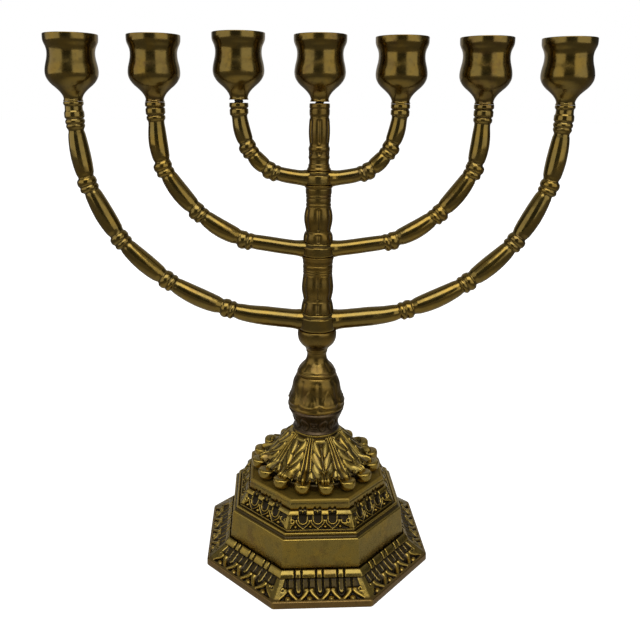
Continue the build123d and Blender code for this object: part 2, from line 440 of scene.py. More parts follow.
def mix(tree, share, first, second):
    """Two colours mixed by a share."""
    made = node(tree, "Mix", data_type="RGBA")
    for socket, value in ((made.inputs[0], share), (made.inputs[6], first), (made.inputs[7], second)):
        if isinstance(value, bpy.types.NodeSocket):
            tree.links.new(value, socket)
        else:
            socket.default_value = value if isinstance(value, float) else (*value, 1.0)
    return made.outputs[2]


def calc(tree, operation, *values):
    """One step of arithmetic."""
    made = node(tree, "Math", dict(enumerate(values)), operation=operation)
    return made.outputs[0]


def brass(name, tones, polish, tarnish, dark_below, grain):
    """Antiqued brass: three tones of metal in clouds, dark patina in the recesses, near-black painted
    shade where the relief sinks deepest, and bright worn edges.

    polish is the roughness of clean metal, tarnish the strength of its dark specks, dark_below the relief
    in mm at which patina is at its darkest, and grain the strength of the cast surface's bumps."""
    material = bpy.data.materials.new(name)
    tree = empty_tree(material)
    place = node(tree, "TexCoord").outputs["Object"]
    relief = node(tree, "Attribute", attribute_name="relief").outputs["Fac"]
    clouds = noise(tree, place, 95.0, 4.0, 0.6, 0.4)
    stains = noise(tree, place, 60.0, 5.0, 0.65, 0.8)
    blotches = noise(tree, place, 330.0, 3.0, 0.6)
    specks = noise(tree, place, 900.0, 2.0, 0.6)
    fine = noise(tree, place, 3200.0, 2.0, 0.5)

    # the lip of the foot is reddest, which goes by the height, here in metres
    metal, gold, bronze = tones
    tone = mix(tree, remap(tree, clouds, 0.42, 0.66), metal, gold)
    height = node(tree, "SeparateXYZ", {0: place}).outputs["Z"]
    foot = remap(tree, height, 0.0032, 0.0048, 0.9, 0.0)
    reddish = calc(tree, "MAXIMUM", calc(tree, "MULTIPLY", remap(tree, stains, 0.52, 0.7), 0.6), foot)
    tone = mix(tree, reddish, tone, bronze)
    shade = calc(tree, "MULTIPLY", remap(tree, blotches, 0.5, 0.72), tarnish)
    tone = mix(tree, shade, tone, PATINA_AND_SHADE)
    worn = calc(tree, "MULTIPLY", remap(tree, relief, 0.03, 0.22), 0.5)
    tone = mix(tree, worn, tone, [min(channel * 1.7, 1.0) for channel in gold])
    # patina gathers in the recesses; under the dome's skirt the same mix lays painted shade
    edge = calc(tree, "ADD", relief, remap(tree, specks, 0.3, 0.7, -0.02, 0.02))
    grime_and_shade = remap(tree, edge, 0.0, dark_below, 0.0, 0.9)
    tone = mix(tree, grime_and_shade, tone, PATINA_AND_SHADE)
    # painted shade: near black where the relief sinks deepest, under the dome's skirt and in the deepest
    # slots of the ornament
    tone = mix(tree, remap(tree, relief, -0.24, -0.46, 0.0, 0.85), tone, PAINTED_DEEP_SHADE)

    # the flat top of the plinth carries painted light: its tone is pulled towards gold so that it does not
    # go black where it mirrors the dark underside of the dome, and it is less polished than the rest
    plinth = calc(tree, "MULTIPLY", remap(tree, height, 0.0438, 0.0444),
                  remap(tree, height, 0.0452, 0.0458, 1.0, 0.0))
    tone = mix(tree, calc(tree, "MULTIPLY", plinth, 0.6), tone, gold)
    rough = remap(tree, blotches, 0.3, 0.75, polish - 0.03, polish + 0.08)
    rough = calc(tree, "ADD", rough, calc(tree, "MULTIPLY", plinth, 0.35))
    rough = calc(tree, "ADD", rough, calc(tree, "MULTIPLY", grime_and_shade, 0.28))
    cast = node(tree, "Bump", {"Strength": grain, "Distance": 0.0004, "Height": specks})
    skin = node(tree, "Bump", {"Strength": 0.5 * grain, "Distance": 0.0001, "Height": fine,
                               "Normal": cast.outputs["Normal"]})
    shader = node(tree, "BsdfPrincipled", {"Base Color": tone, "Roughness": rough, "Metallic": 1.0,
                                           "Coat Weight": 0.12, "Coat Roughness": 0.2,
                                           "Normal": skin.outputs["Normal"]})
    node(tree, "OutputMaterial", {"Surface": shader.outputs["BSDF"]})
    return material


def steel(name):
    """Dull zinc-grey steel, oily dark, with fine scratches across it."""
    material = bpy.data.materials.new(name)
    tree = empty_tree(material)
    place = node(tree, "TexCoord").outputs["Object"]
    clouds = noise(tree, place, 260.0, 4.0, 0.6)
    fine = noise(tree, place, 2600.0, 2.0, 0.5)
    tone = mix(tree, remap(tree, clouds, 0.35, 0.65), (0.20, 0.19, 0.18), (0.08, 0.075, 0.07))
    rough = remap(tree, clouds, 0.3, 0.7, 0.32, 0.5)
    skin = node(tree, "Bump", {"Strength": 0.25, "Distance": 0.0001, "Height": fine})
    shader = node(tree, "BsdfPrincipled", {"Base Color": tone, "Roughness": rough, "Metallic": 1.0,
                                           "Normal": skin.outputs["Normal"]})
    node(tree, "OutputMaterial", {"Surface": shader.outputs["BSDF"]})
    return material


def darker(share, tones):
    """Colours with each channel multiplied by its own share."""
    return [[channel * part for channel, part in zip(tone, share)] for tone in tones]


# Colours are linear (red, green, blue): the tones of the metal, what gathers in its recesses (also laid as
# painted shade under the dome's skirt), the near black of painted shade, and the shares that make one
# casting duller than another.
OLIVE = (0.250, 0.180, 0.042)
GOLD = (0.300, 0.200, 0.035)
BRONZE = (0.175, 0.102, 0.033)
PATINA_AND_SHADE = (0.052, 0.036, 0.015)
# the near black of painted shade, for where the relief sinks deepest
PAINTED_DEEP_SHADE = (0.019, 0.014, 0.008)
BROWNER = (0.68, 0.61, 0.58)
REDDER = (0.90, 0.86, 0.90)
DULLER = (0.78, 0.74, 0.78)
CAST = brass("brass_cast", [OLIVE, GOLD, BRONZE], 0.25, 0.25, -0.17, 0.12)
COLUMN = brass("brass_column", darker(BROWNER, [OLIVE, GOLD, BRONZE]), 0.30, 0.12, -0.34, 0.05)
BRANCH = brass("brass_branch", darker(REDDER, [OLIVE, GOLD]) + [BRONZE], 0.16, 0.16, -0.22, 0.03)
POLISHED = brass("brass_polished", darker(DULLER, [OLIVE, GOLD, BRONZE]), 0.19, 0.30, -0.30, 0.02)
DARK = brass("brass_dark", [(0.070, 0.046, 0.026), (0.110, 0.075, 0.036), (0.13, 0.07, 0.04)],
             0.34, 0.4, -0.12, 0.12)
STEEL = steel("steel")


# ----------------------------------------------------------------- candle cups

def cup(number, axis):
    """Turned candle cup: tulip bowl, waist, flared lip with a flat band, and a bore for the candle."""
    name = "cup_%d" % number
    low = heights(name)[0]
    foot, top, socket_floor = -0.25, 34.0, 13.0
    rim, candle = 13.9, 11.0
    runs = path((0, STUD_PROUD), (STUD_HOLE, STUD_PROUD), (STUD_HOLE, foot), (5.2, foot), (4.7, 0.9),
                "curve", (5.1, 2.4), (6.33, 4.4), (8.35, 6.5), (10.6, 8.5), (12.2, 10.5), (13.15, 12.5),
                (13.47, 14.6), (13.35, 16.6), (13.0, 18.6), (12.5, 20.7), (12.15, 22.8), (12.07, 24.7),
                (12.3, 26.5), (12.75, 27.9), (13.3, 29.1), (13.72, 30.3), (13.88, 31.6), (rim, 32.6),
                "lines", (rim, top), (candle, top), (candle, socket_floor + 1.2),
                (candle - 1.2, socket_floor), (0, socket_floor))
    profile = outline(runs, soften=0.24, closed=False, gap=0.9)
    shell = turned(profile, 112, closed=False, centre=(axis, 0, low))
    piece(name + "_bowl", [shell], POLISHED, name, name, passes=14)


# -------------------------------------------------------------------- branches

def spindle_points(start, end, neck, swell):
    """(radius, distance) points of one swelling stretch of branch, thickest a little before its middle."""
    crest = 0.45
    points = []
    for share in (0.0, 0.1, 0.25, crest, 0.65, 0.82, 0.93, 1.0):
        bend = math.sin(math.pi * share ** (math.log(0.5) / math.log(crest)))
        points.append((neck + (swell - neck) * max(bend, 0.0) ** 0.8, start + (end - start) * share))
    return points


def knob_points(centre, neck, knob):
    """(radius, distance) points of one knob: a slim ring and a rounder one with a groove between them."""
    low = [(neck - 0.15, -4.2), (neck - 0.1, -3.7), (knob - 0.3, -3.1), (knob - 0.1, -2.3),
           (knob - 0.15, -1.5)]
    high = [(knob - 0.6, -0.9), (knob - 0.55, -0.4), (knob, 0.3), (knob + 0.1, 1.3), (knob, 2.2),
            (knob - 0.3, 3.1), (neck - 0.1, 3.8), (neck - 0.15, 4.3)]
    return [(radius, centre + at) for radius, at in low + high]


def arm(sizes):
    """One arm of a branch, from inside the hub to the end collar with its stud hole."""
    reach = sizes["reach"]
    step = 0.25
    rise = np.arange(step, UPRIGHT_END + 0.5 * step, step)
    upright = np.stack([np.full_like(rise, reach), BRANCH_TOP - UPRIGHT_END + rise], 1)
    line = np.vstack([spline(sizes["line"] + [(reach, BRANCH_TOP - UPRIGHT_END)], step), upright])
    distance = np.concatenate([[0.0], np.cumsum(np.linalg.norm(np.diff(line, axis=0), axis=1))])
    length = distance[-1]
    stops = [distance[np.argmin(np.linalg.norm(line - np.array(knob), axis=1))]
             for knob in sizes["knobs"]]
    collar_foot = length - (BRANCH_TOP - sizes["collar"][-1][0])
    neck, swell, root = sizes["neck"], sizes["swell"], sizes["root"]
    start = sizes["hub_radius"] - sizes["line"][0][0]
    edge = 3.9
    points = [(0.0, 0.0), (root + 0.7, 0.0), (root + 0.5, start), (root + 0.2, start + 1.5),
              (root, start + 4.0)]
    points += [(root, stops[0] * 0.55), (root * 0.35 + neck * 0.65, stops[0] - edge - 3.0)]
    for index, stop in enumerate(stops):
        points += knob_points(stop, neck, sizes["knob"])
        last = index == len(stops) - 1
        end = collar_foot if last else stops[index + 1] - edge
        points += spindle_points(stop + edge, end, neck, swell)[1:-1]
    points += [(radius, length - (BRANCH_TOP - height)) for height, radius in sizes["collar"][::-1]]
    hole_end = length - STUD_SUNK - END_CLEARANCE
    points += [(STUD_HOLE, length), (STUD_HOLE, hole_end), (0.0, hole_end)]
    profile = outline(straight(points), soften=0.3, closed=False, tolerance=0.006, gap=1.2)

    def shift(at):
        return sum(sizes["bulge"] * bump(at, stop - 3.2, stop + 3.2, 1.6) for stop in stops)

    return tube(line, profile, 48, shift)


def branch(name, sizes):
    """One branch casting: hub with two arms."""
    low, high = sizes["hub"][0] + HUB_PLAY, sizes["hub"][1] - HUB_PLAY
    radius = sizes["hub_radius"]
    bead = radius - 1.3
    runs = path((HUB_BORE, low), (radius - 0.6, low), (radius, low + 0.8), (radius, high - 2.4),
                (bead, high - 1.6), "curve", (bead + 0.3, high - 0.8), (bead - 0.3, high),
                "lines", (HUB_BORE, high), (HUB_BORE, low))
    hub = turned(outline(runs, soften=0.3), 96)
    right = arm(sizes)
    body = "branch_" + name
    piece(body + "_casting", [hub, right, mirrored(right)], BRANCH, body, body, passes=16)


# ---------------------------------------------------------------------- column

FRONT = math.radians(-90)


def lobes(stretches, depth, hole):
    """Relief of six rounded lobes between grooves, over stretches of height, wherever radius > hole."""
    def relief(angle, radius, height):
        turn = wrapped(angle - FRONT, math.radians(60)) * 3
        groove = 1 - np.abs(np.sin(turn)) ** 0.55
        where = sum(bump(height, low, high, 1.2) for low, high in stretches)
        return -depth * groove * where * (radius > hole)
    return relief


def with_hole(outer, spigot_top=None):
    """Close an outer profile over the tie rod's hole, with a spigot above it if it has one."""
    start, end = outer[0][0], outer[-1][-1]
    hole_top = spigot_top or end[1]
    spigot = [(SPIGOT_RADIUS, end[1]), (SPIGOT_RADIUS, spigot_top)] if spigot_top else []
    below, above = [(ROD_HOLE, start[1]), start], [end] + spigot + [(ROD_HOLE, hole_top)]
    return straight(below) + outer + straight(above + below[:1])


def column_part(name, kind, runs, relief, segments, gap=0.7, soften=0.2, passes=10,
                material=COLUMN):
    """One part of the column with its hole, and relief on its outer side."""
    shell = turned(outline(runs, soften=soften, gap=gap), segments, relief)
    piece(name + "_" + kind, [shell], material, "column", name, passes)


def stem_top():
    """Slender top of the column, fluted, with the centre cup's stud hole."""
    low = BRANCHES["inner"]["hub"][1]
    hole_end = BRANCH_TOP - STUD_SUNK - END_CLEARANCE
    runs = path((0.0, ROD_TOP), (ROD_HOLE, ROD_TOP), (ROD_HOLE, low), (6.6, low), (6.35, 215.4),
                (5.75, 216.3), (5.75, 217.6), (5.35, 218.1), (5.4, 220.4), (5.7, 221.0), (5.7, 221.8),
                (5.5, 222.3), (5.55, 224.9), (5.75, 225.4), (5.7, 226.7), (5.25, 227.4), (5.2, 228.4),
                "curve", (5.5, 231.0), (5.7, 235.0), (5.55, 239.0), (5.3, 241.6),
                "lines", (5.0, 242.3), (5.05, 243.2), (5.35, 243.9), (5.4, 246.4), (5.15, 247.0),
                (5.45, 247.6), (5.4, 249.5), (5.2, BRANCH_TOP), (STUD_HOLE, BRANCH_TOP),
                (STUD_HOLE, hole_end), (0.0, hole_end))
    profile = outline(runs, soften=0.22, closed=False, gap=0.7)
    relief = lobes([(228.9, 241.4), (222.9, 224.6)], 0.85, 4.6)
    shell = turned(profile, 120, relief, closed=False)
    piece("stem_top_turning", [shell], COLUMN, "column", "stem_top", passes=10)


def spacer_upper():
    """Ringed baluster between the middle and the top hub, with a fluted belly."""
    low, top = BRANCHES["middle"]["hub"][1], BRANCHES["inner"]["hub"][0]
    outer = path((7.9, low), "curve", (8.05, 176.6), (8.0, 178.3), (7.5, 180.3), (7.0, 181.1),
                 "lines", (6.6, 181.4), (6.75, 182.0),
                 "curve", (7.1, 183.8), (7.55, 186.0), (7.75, 188.6), (7.6, 191.0), (7.15, 193.2),
                 (6.8, 194.6), "lines", (6.5, 195.0), (6.85, 195.5), (6.85, 196.4), (6.4, 196.9),
                 (6.75, 197.5), (6.75, 199.3), (6.5, 199.7), (6.9, 200.2), (6.9, 201.0), (6.6, 201.4),
                 (7.0, 201.9), (7.1, 204.4), (6.9, 204.9), (7.5, 205.4), (7.6, top))
    relief = lobes([(175.8, 180.4), (182.4, 194.2)], 0.95, 6.2)
    column_part("spacer_upper", "turning", with_hole(outer, BRANCHES["inner"]["hub"][1]), relief, 132)


def spacer_lower():
    """Ringed baluster between the lowest and the middle hub, with a fluted belly."""
    low, top = BRANCHES["outer"]["hub"][1], BRANCHES["middle"]["hub"][0]
    outer = path((8.9, low), "curve", (8.95, 137.2), (8.7, 139.6), (8.3, 141.4), (8.0, 142.7),
                 "lines", (7.5, 143.1), (7.75, 143.6),
                 "curve", (8.1, 145.4), (8.55, 147.6), (8.72, 150.2), (8.5, 153.0), (8.2, 155.6),
                 (8.05, 157.4), "lines", (7.7, 157.8), (8.1, 158.3), (8.1, 158.9), (7.85, 159.2),
                 (8.1, 159.5), (8.1, 160.2), (7.85, 160.5), (8.15, 160.8), (8.15, 162.6), (7.7, 163.1),
                 (8.2, 163.6), (8.3, 165.4), (8.6, 166.4), (8.85, 167.2), (8.85, top))
    relief = lobes([(136.4, 142.4), (144.0, 157.2)], 1.0, 7.0)
    column_part("spacer_lower", "turning", with_hole(outer, BRANCHES["middle"]["hub"][1]), relief, 144)


def neck():
    """Petalled cone, slim neck and cup under the lowest hub."""
    low, top = KNOP_TOP, BRANCHES["outer"]["hub"][0]
    outer = path((10.6, low), (10.95, 100.9), (10.8, 101.9), (10.2, 102.4),
                 "curve", (10.1, 103.2), (9.4, 104.3), (8.2, 105.7), (7.0, 106.9), (6.1, 108.3),
                 (5.6, 109.8), (5.42, 111.6), (5.6, 112.9),
                 "lines", (5.95, 113.2), (5.95, 113.8), (5.75, 114.1), (6.15, 114.5), (6.2, 115.0),
                 "curve", (6.7, 115.7), (7.7, 116.8), (8.9, 117.9), (9.8, 119.2), (10.4, 120.6),
                 (10.7, 122.3), (10.75, 124.0), (10.5, 125.6), (10.2, top))

    def relief(angle, radius, height):
        turn = wrapped(angle - FRONT, math.radians(45)) * 4
        petals = 1 - np.abs(np.sin(turn)) ** 0.5
        return -0.35 * petals * bump(height, 103.4, 107.6, 1.0) * (radius > 5.2)

    column_part("neck", "turning", with_hole(outer, BRANCHES["outer"]["hub"][1]), relief, 144, passes=12)


KNOP_PHASE = FRONT + math.radians(27)


def knop():
    """Bell-shaped knop with eight broad petals, each with a soft arch and a scalloped foot."""
    outer = path((15.0, COLLAR_TOP), (15.6, 81.55), (16.0, 82.1), (16.0, 82.8), (15.75, 83.2),
                 "curve", (15.85, 83.9), (15.85, 84.9), (15.3, 86.6), (14.5, 88.8), (13.95, 90.8),
                 (13.6, 92.8), (13.25, 94.8), (12.8, 96.4), (12.1, 97.8), (11.5, 99.2), (11.2, 99.8),
                 "lines", (10.7, KNOP_TOP))

    def relief(angle, radius, height):
        turn = wrapped(angle - KNOP_PHASE, math.radians(45))
        across = np.abs(turn * radius)
        half = math.radians(22.5) * radius
        on_petals = bump(height, 83.6, 98.4, 1.6)
        valley = -0.4 * ridge(half - across, 1.3) * on_petals
        foot = height - 84.6 - 1.3 * (across / half) ** 2
        step = 0.3 * bump(foot, 0.0, 99.0, 0.6) - 0.3 + 0.35 * ridge(foot - 0.6, 0.5)
        arch = 4.4 * (1 - np.clip((height - 85.4) / 9.5, 0, 1) ** 1.6)
        line = -0.13 * ridge(across - arch, 0.55) * bump(height, 86.4, 94.0, 1.2)
        panel = 0.15 * bump(arch - across, 0.0, 99.0, 1.4) * bump(height, 86.0, 94.0, 1.4)
        crown = 0.16 * np.abs(np.cos(math.pi * across / 2.6)) * bump(foot, 1.7, 3.6, 1.0)
        crown = crown * bump(across, -1.0, 4.2, 1.0)
        return (valley + step * on_petals + line + panel + crown) * (radius > 10.0)

    column_part("knop", "casting", with_hole(outer), relief, 232, gap=0.5, passes=14)


def collar():
    """Dark spool-shaped collar with five rosettes and two pointed leaves between every two of them."""
    outer = path((12.7, DOME_TOP), (13.1, 68.45), (13.15, 69.0), (12.7, 69.4), (12.2, 69.8),
                 "curve", (11.95, 70.6), (11.9, 71.8), (12.1, 73.2), (12.75, 74.7), (13.5, 76.2),
                 (14.2, 77.5), (14.75, 78.6), (15.0, 79.4),
                 "lines", (15.45, 79.75), (15.6, 80.2), (15.4, 80.7), (15.0, 81.0), (15.0, COLLAR_TOP))

    def relief(angle, radius, height):
        turn = wrapped(angle - FRONT + math.radians(7), math.radians(72))
        across = turn * 12.2
        up = height - 73.7
        square = np.maximum(np.abs(across), np.abs(up))
        rosette = 0.7 * ridge(square - 1.5, 0.38) + ridge(np.hypot(across, up), 0.75)
        beside = np.abs(across) - 5.1 - 0.12 * up
        blade = 2.35 * np.clip(1 - ((up - 0.1) / 3.9) ** 2, 0, 1) ** 0.8
        leaf = bump(blade - np.abs(beside), 0.1, 99.0, 0.7) * (0.75 + 0.25 * ridge(beside, 1.2))
        leaf = leaf - 0.45 * ridge(beside, 0.3) * bump(up, -2.4, 2.6, 1.0) * (blade > 0.5)
        return 0.7 * np.clip(rosette + leaf, 0, 1.1) * (radius > 11.2) * bump(height, 70.3, 77.6, 0.6)

    column_part("collar", "casting", with_hole(outer), relief, 256, gap=0.45, soften=0.18,
                material=DARK)


# ------------------------------------------------------------------- leaf dome

# Radius and height add up to more than this on the dome's outer side, and to less inside it.
DOME_OUTSIDE = 78.5

# The lobes on each side of a leaf: where each starts and ends, as a share of the
# leaf's half width and the distance down from the dome's top, and its half width.
LEAF_LOBES = [((0.78, 2.6), (0.16, 12.4), 2.3), ((0.80, 9.0), (0.13, 19.0), 2.7),
              ((0.76, 15.4), (0.16, 25.0), 2.8), ((0.95, 19.5), (0.62, 26.6), 1.6)]


def lobe(across, down, start, end, width):
    """Height of one plump leaf lobe, pointed at both ends, from 0 at its edge to 1."""
    run_across, run_down = end[0] - start[0], end[1] - start[1]
    length = np.hypot(run_across, run_down)
    along = ((across - start[0]) * run_across + (down - start[1]) * run_down) / length ** 2
    off = ((across - start[0]) * run_down - (down - start[1]) * run_across) / length
    room = width * np.sin(math.pi * np.clip(along, 0.0, 1.0) ** 0.85) ** 0.65
    plump = np.sqrt(np.clip(1 - (off / np.maximum(room, 0.05)) ** 2, 0, 1))
    return plump * (0.62 + 0.38 * np.clip(along, 0, 1))


def dome_relief(angle, radius, height):
    """Eight leaves, each a thin vein with pairs of plump lobes, ridged stalks between them, and a
    scalloped skirt with a tip over each ball."""
    period = 2 * math.pi / LEAF_COUNT
    turn = wrapped(angle - math.radians(FIRST_BALL), period)
    across = np.abs(turn) * radius
    half = 0.5 * period * radius
    down = (DOME_TOP - height) * 1.41
    stalk_half = 1.1 + 0.085 * down
    leaf_half = half - stalk_half
    off = half - across

    on_stalk = bump(stalk_half - off, 0.0, 99.0, 0.6)
    stalks = 0.55 + 0.6 * np.cos(2 * math.pi * np.clip(off / stalk_half, 0, 1))

    leaf = 0.25 * np.sqrt(np.clip(across / leaf_half, 0, 1))
    for start, end, width in LEAF_LOBES:
        start_point = (start[0] * leaf_half, start[1])
        end_point = (end[0] * leaf_half, end[1])
        leaf = np.maximum(leaf, 2.2 * lobe(across, down, start_point, end_point, width))
    vein = 0.75 * ridge(across, 0.4) * bump(down, 5.5, 99.0, 1.5)
    curl = 1.5 * np.sqrt(np.clip(1 - ((down - 2.7) / 1.7) ** 2, 0, 1)) * bump(across, -1.0, 3.2, 1.2)
    leaf = np.maximum(np.maximum(leaf, vein), curl)

    to_ball = wrapped(angle - math.radians(FIRST_BALL), 2 * math.pi / BALL_COUNT) * radius
    tips = (3.7 * ridge(to_ball, 2.7) - 1.2) * bump(down, 21.0, 99.0, 5.0)
    fade = bump(down, 0.6, 99.0, 1.2) * bump(height, 48.6, 99.0, 1.0)
    return (over(leaf, on_stalk, stalks) - 1.8 + tips) * fade * (radius > 11.6)


def ball(angle):
    """One of the hanging knobs round the dome's foot: a half drop under its leaf tip, with a flat top."""
    bowl = spline([(0.0, -3.1), (2.4, -2.85), (3.9, -1.75), (4.45, -0.1), (4.45, 1.6)], 0.35)
    lid = spline([(4.3, 2.1), (3.6, 2.5), (2.0, 2.7), (0.0, 2.75)], 0.35)
    profile = blurred(np.vstack([bowl, lid]), 0.5, False)
    profile[[0, -1], 0] = 0.0
    reach = 32.1
    centre = (reach * math.cos(angle), reach * math.sin(angle), 48.3)
    vertices, faces = turned(profile, 40, closed=False)
    lean = Matrix.Rotation(math.radians(-8), 3, (-math.sin(angle), math.cos(angle), 0))
    return vertices @ np.array(lean).T + np.array(centre), faces


def leaf_dome():
    """Acanthus dome, hollow underneath, with its ring of balls and painted shade under its skirt."""
    bore_low = DOME_TOP - 3.0
    runs = path((31.0, 51.4), "curve", (28.9, 52.1), (26.5, 53.9), (23.8, 56.6), (21.3, 59.6),
                (18.8, 62.6), (16.4, 65.0), (14.2, 67.1), (12.9, DOME_TOP),
                "lines", (ROD_HOLE, DOME_TOP), (ROD_HOLE, bore_low), (10.2, 65.0),
                "curve", (16.2, 58.4), (22.5, 51.4), (26.4, 47.4), (27.0, 45.1),
                "lines", (29.2, 45.1), (29.6, 47.8), (29.4, 49.0), (31.0, 51.4))

    def outside(first, second):
        return min(first.sum(), second.sum()) > DOME_OUTSIDE

    profile = outline(runs, step=0.3, soften=0.3, tolerance=0.01, gap=3.0)
    shells = [turned(refined(profile, outside, 0.3, 3.0), 528, dome_relief)]
    for index in range(BALL_COUNT):
        shells.append(ball(math.radians(FIRST_BALL) + index * 2 * math.pi / BALL_COUNT))
    # painted shade: the dome's underside and the inner sides of the balls get a made-up depth of 1.3 mm,
    # which darkens them like the deepest recesses
    points = np.vstack([vertices for vertices, faces in shells])
    radius = np.hypot(points[:, 0], points[:, 1])
    painted_shade_under_skirt = bump(points[:, 2], 0.0, 50.4, 0.8) * bump(radius, 0.0, 31.2, 0.8)
    piece("leaf_dome_casting", shells, CAST, "column", "leaf_dome", 16, -1.3 * painted_shade_under_skirt)


# ------------------------------------------------------------------------ base

# Bands of ornament: shields hanging from a fillet, a tongue in each, and a tent
# with a ball between every two.  Heights run down the slope from the fillet's
# lower edge, and the fillet stands straight above it.
LOWER_BAND = dict(
    top=13.0, low=3.5, inner=50.9, outer=59.4, fillet=3.4, period=11.0, shift=-0.8, depth=1.6,
    panel=0.56, tongue=1.75, tongue_end=7.7, stretch=1.7, slot=0.45, apex=5.8, tip=11.4,
    rim=1.7, rim_sunk=0.0, rim_edge=0.8, ball=1.9, ball_at=9.7, rib=(2.6, 3.6), opened=False)
UPPER_BAND = dict(
    top=39.7, low=31.3, inner=39.4, outer=42.9, fillet=2.2, period=7.8, shift=-1.3, depth=1.4,
    panel=0.8, tongue=1.95, tongue_end=3.9, stretch=1.0, slot=0.25, apex=3.3, tip=6.9,
    rim=0.6, rim_sunk=0.2, rim_edge=0.5, ball=0.95, ball_at=5.6, rib=(1.8, 2.6), opened=True)


def ornament(band, across, half, v):
    """Height of the ornament against the band's outer skin, from 0 down to about minus its depth."""
    period, depth = band["period"], band["depth"]
    t = across - band["shift"]
    tongue = np.abs(t - np.clip(np.round(t / period), -1, 1) * period)
    tent = np.abs(t - (np.clip(np.floor(t / period), -2, 1) + 0.5) * period)
    outer = np.abs(t) > 1.5 * period
    from_corner = half - np.abs(across)

    reach = np.where(outer, np.maximum(tent + from_corner, 0.1), period / 2)
    run = band["tip"] - band["apex"]
    share = np.clip((v - band["apex"]) / run, 0, 1) ** 1.5
    beside = (tent - share * reach) / np.hypot(1.0, reach / run)
    below = band["tongue_end"] - band["tongue"] * band["stretch"]
    round_tongue = np.hypot(tongue, np.maximum(v - below, 0) / band["stretch"]) - band["tongue"]
    on_tongue = ~outer

    height = np.full_like(v, -band["panel"] * depth)
    height = over(height, bump(tent, -1.0, band["slot"], 0.4) * (v < band["apex"]), -1.3 * depth)
    if band["opened"]:
        height = over(height, bump(-round_tongue, 0.0, 99.0, 0.4) * on_tongue, -1.1 * depth)
        height = over(height, bump(round_tongue, 0.1, 0.1 + band["rim"], 0.35) * on_tongue,
                      -band["rim_sunk"] * depth)
    else:
        height = over(height, bump(-round_tongue, 0.2, 99.0, 0.8) * on_tongue, -0.5 * depth)
        slot = bump(np.abs(round_tongue), -1.0, band["slot"], 0.4) * on_tongue
        height = over(height, slot, -1.3 * depth)
    wing = bump(v, band["apex"] + 0.3, 99.0, 0.6) * outer
    height = over(height, wing, -0.12 * depth)
    rim = bump(beside, 0.0, band["rim"], band["rim_edge"]) * bump(v, band["apex"] - 1.2, 99.0, 0.8)
    height = over(height, rim, -band["rim_sunk"] * depth)
    height = over(height, bump(-beside, 0.0, 99.0, 0.4) * (v > band["apex"]), -1.15 * depth)
    centred = np.hypot(tent, v - band["ball_at"]) / band["ball"]
    crest = -1.15 * depth + 1.2 * depth * np.sqrt(np.clip(1 - centred ** 2, 0, 1))
    height = np.maximum(height, np.where(centred < 1, crest, -9.0))

    rib = band["rib"][0] + (band["rib"][1] - band["rib"][0]) * np.clip(v / band["tip"], 0, 1) ** 2
    leaf = bump(rib - from_corner, 0.0, 99.0, 0.6) * (v > -0.2)
    height = over(height, leaf * bump(v, -9.0, band["tip"] - 0.3, 0.6), -0.08 * depth)
    curl = np.hypot(from_corner - rib - 0.3, (v - band["apex"] + 0.4) / 1.2) - 0.9
    height = over(height, bump(curl, -0.4, 0.1, 0.35) * outer * (v > 1.0), 0.05 * depth)

    notch = bump(np.abs(tongue - band["tongue"]), -1.0, band["slot"], 0.4) * on_tongue
    fillet = -0.7 * depth * notch
    if band["opened"]:
        gap = bump(band["tongue"] - tongue, 0.0, 99.0, 0.4) * on_tongue
        wedge = bump(0.95 - tongue - 0.8 * (v + band["fillet"]), 0.0, 99.0, 0.4)
        fillet = -depth * gap * (1 - 0.9 * wedge)
    return over(height, bump(v, -99.0, 0.0, 0.6), fillet)


